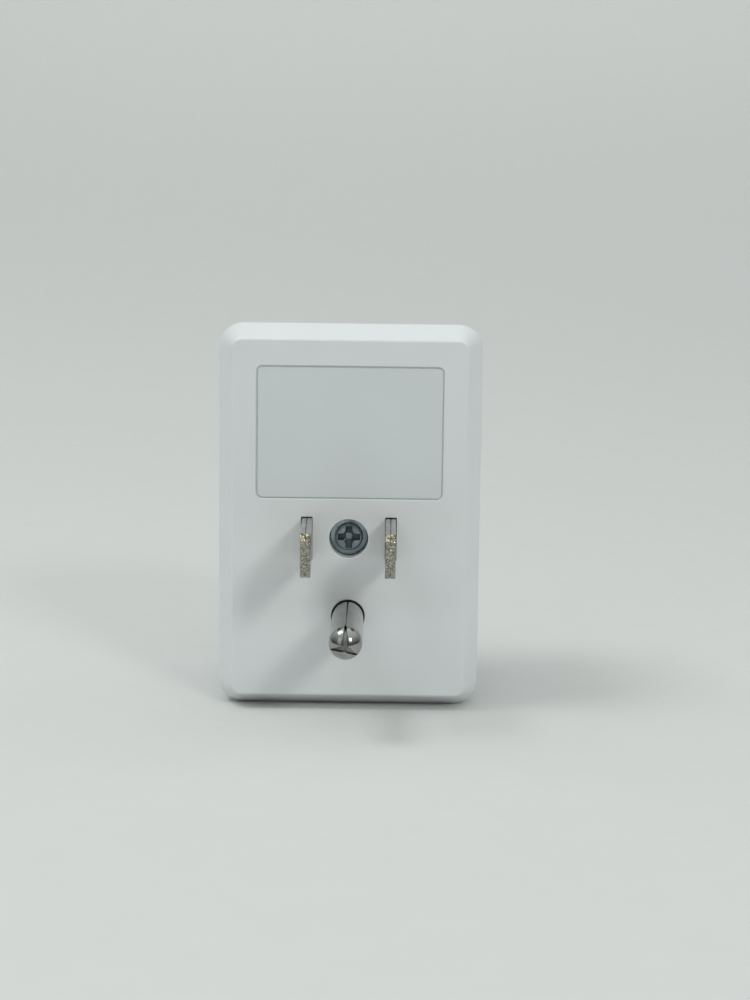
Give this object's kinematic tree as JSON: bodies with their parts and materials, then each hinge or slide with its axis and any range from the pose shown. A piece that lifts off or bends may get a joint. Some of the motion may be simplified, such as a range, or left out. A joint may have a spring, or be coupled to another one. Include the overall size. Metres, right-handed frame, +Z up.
{
  "type": "plug in power meter",
  "caption": "Plug in power meter: a socket-through housing with flat blades, a display, keys and a grounded outlet, built from separate inner parts.",
  "frame": {"origin": "midway between the two flat blades, on the rear face that lies against the wall", "axes": "+Y points into the wall along the blades, +Z is up, +X is to the right for someone facing the display"},
  "size_m": [0.04, 0.0552, 0.0586],
  "materials": {
    "shell_plastic": "satin white ABS",
    "insert_plastic": "satin white, flame retardant",
    "label_film": "blank printed film",
    "zinc_steel": "zinc plated",
    "blade_metal": "nickel plated brass",
    "pin_metal": "nickel plated rolled brass",
    "contact_metal": "spring brass",
    "strap_metal": "tinned copper",
    "shunt_metal": "resistance alloy",
    "holder_plastic": "natural nylon",
    "board_laminate": "glass epoxy with green mask",
    "black_plastic": "moulded epoxy and nylon",
    "capacitor_case": "yellow film capacitor box",
    "capacitor_sleeve": "sleeved aluminium can",
    "varistor_coating": "epoxy dip",
    "fuse_case": "moulded fuse case",
    "pin_gold": "gold flash",
    "can_metal": "nickel can",
    "clear_plastic": "clear acrylic window",
    "display_glass": "liquid crystal cell",
    "diffuser_plastic": "milky light guide",
    "strip_rubber": "layered conducting rubber",
    "button_plastic": "grey ABS key",
    "plunger_plastic": "switch actuator"
  },
  "bodies": {
    "housing": {"rear_cover": "shell_plastic", "front_cover": "shell_plastic", "outlet_face": "insert_plastic", "rating_label": "label_film", "cover_screw": "zinc_steel", "board_screws": "zinc_steel", "cap_screws": "zinc_steel", "display_screws": "zinc_steel", "line_blade": "blade_metal", "neutral_blade": "blade_metal", "ground_pin": "pin_metal", "line_contact": "contact_metal", "neutral_contact": "contact_metal", "ground_contact": "contact_metal", "neutral_strap": "strap_metal", "line_in_strap": "strap_metal", "line_out_strap": "strap_metal", "ground_strap": "strap_metal", "shunt_resistor": "shunt_metal", "blade_retainer": "holder_plastic", "contact_cap": "holder_plastic", "lcd_frame": "holder_plastic", "power_board": "board_laminate", "display_board": "board_laminate", "metering_chip": "black_plastic", "controller_chip": "black_plastic", "header_strip": "black_plastic", "left_button_switch": "black_plastic", "middle_button_switch": "black_plastic", "right_button_switch": "black_plastic", "mains_capacitor": "capacitor_case", "filter_capacitor": "capacitor_sleeve", "varistor": "varistor_coating", "fuse": "fuse_case", "header_pins": "pin_gold", "crystal": "can_metal", "lcd_lens": "clear_plastic", "lcd_glass": "display_glass", "backlight": "diffuser_plastic", "zebra_strips": "strip_rubber"},
    "left_key": {"left_button": "button_plastic", "left_button_plunger": "plunger_plastic"},
    "middle_key": {"middle_button": "button_plastic", "middle_button_plunger": "plunger_plastic"},
    "right_key": {"right_button": "button_plastic", "right_button_plunger": "plunger_plastic"}
  },
  "joints": [
    {"name": "left_button_press", "type": "slide", "parent": "housing", "child": "left_key", "axis": [0, 1, 0], "range_m": [0, 0.00025], "stiffness_N_per_m": 5000, "springref_m": -0.0001},
    {"name": "middle_button_press", "type": "slide", "parent": "housing", "child": "middle_key", "axis": [0, 1, 0], "range_m": [0, 0.00025], "stiffness_N_per_m": 5000, "springref_m": -0.0001},
    {"name": "right_button_press", "type": "slide", "parent": "housing", "child": "right_key", "axis": [0, 1, 0], "range_m": [0, 0.00025], "stiffness_N_per_m": 5000, "springref_m": -0.0001}
  ]
}
